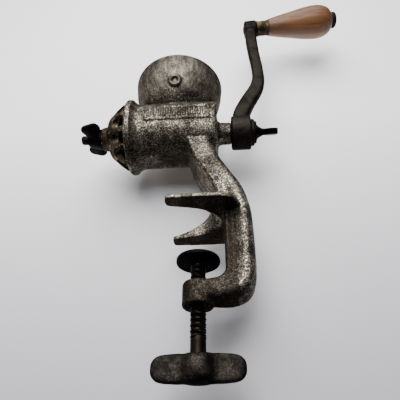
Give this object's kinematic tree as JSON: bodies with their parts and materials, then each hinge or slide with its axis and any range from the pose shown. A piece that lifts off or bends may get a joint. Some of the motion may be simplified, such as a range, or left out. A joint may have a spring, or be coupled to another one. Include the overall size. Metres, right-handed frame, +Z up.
{
  "type": "hand crank meat grinder",
  "caption": "Small clamp-on cast-iron meat grinder with a round hopper, rotary cutter, S-bent crank with a wooden grip, and a clamp screw with a swivel pad.",
  "frame": {"origin": "where the clamp screw's axis meets the underside of the forked upper jaw, the plane of the table top", "axes": "+Z up through the hopper's mouth, +X along the barrel's axis from the cutter to the crank, +Y completes the right-handed frame"},
  "size_m": [0.2432, 0.077, 0.3751],
  "materials": {
    "tinned_cast_iron": "aged tinned casting, mottled and pitted",
    "tinned_feed_screw": "tinned casting, worn smooth",
    "bright_steel": "turned steel, dulled",
    "bronzed_cutter": "brown cast cutter with worn bright edges",
    "black_iron": "blackened malleable iron",
    "forged_iron": "dark forged iron",
    "aged_brass": "dark aged brass",
    "worn_wood": "worn varnished hardwood",
    "screw_steel": "darkened thread",
    "black_pad": "black swivel pad"
  },
  "bodies": {
    "root": {"body_casting": "tinned_cast_iron", "thrust_washer": "bright_steel"},
    "crank": {"feed_screw": "tinned_feed_screw", "cutter_stud": "bright_steel", "cutter": "bronzed_cutter", "cutter_wing_nut": "black_iron", "crank_arm": "forged_iron", "crank_washer": "forged_iron", "crank_thumb_screw": "black_iron", "grip_spindle": "bright_steel"},
    "grip": {"grip_ferrule": "aged_brass", "wooden_grip": "worn_wood", "grip_end_cap": "forged_iron"},
    "pad": {"clamp_pad": "black_pad"},
    "screw": {"clamp_screw": "screw_steel", "clamp_wing": "black_iron", "pad_rivet": "bright_steel"}
  },
  "joints": [
    {"name": "crank_turn", "type": "hinge", "parent": "root", "child": "crank", "pos_m": [0.02, 0, 0.088], "axis": [1, 0, 0], "continuous": true},
    {"name": "grip_spin", "type": "hinge", "parent": "crank", "child": "grip", "pos_m": [0.0553, 0, 0.246], "axis": [0.9945, 0, 0.1045], "continuous": true},
    {"name": "clamp_travel", "type": "slide", "parent": "root", "child": "pad", "axis": [0, 0, 1], "range_m": [-0.0112, 0.0252]},
    {"name": "clamp_turn", "type": "hinge", "parent": "pad", "child": "screw", "pos_m": [0, 0, -0.06], "axis": [0, 0, 1], "range_deg": [-2540.8, 5715.6]}
  ],
  "couplings": [
    {"joint": "clamp_turn", "follows": "clamp_travel", "rad_per_m": 3957.9}
  ]
}
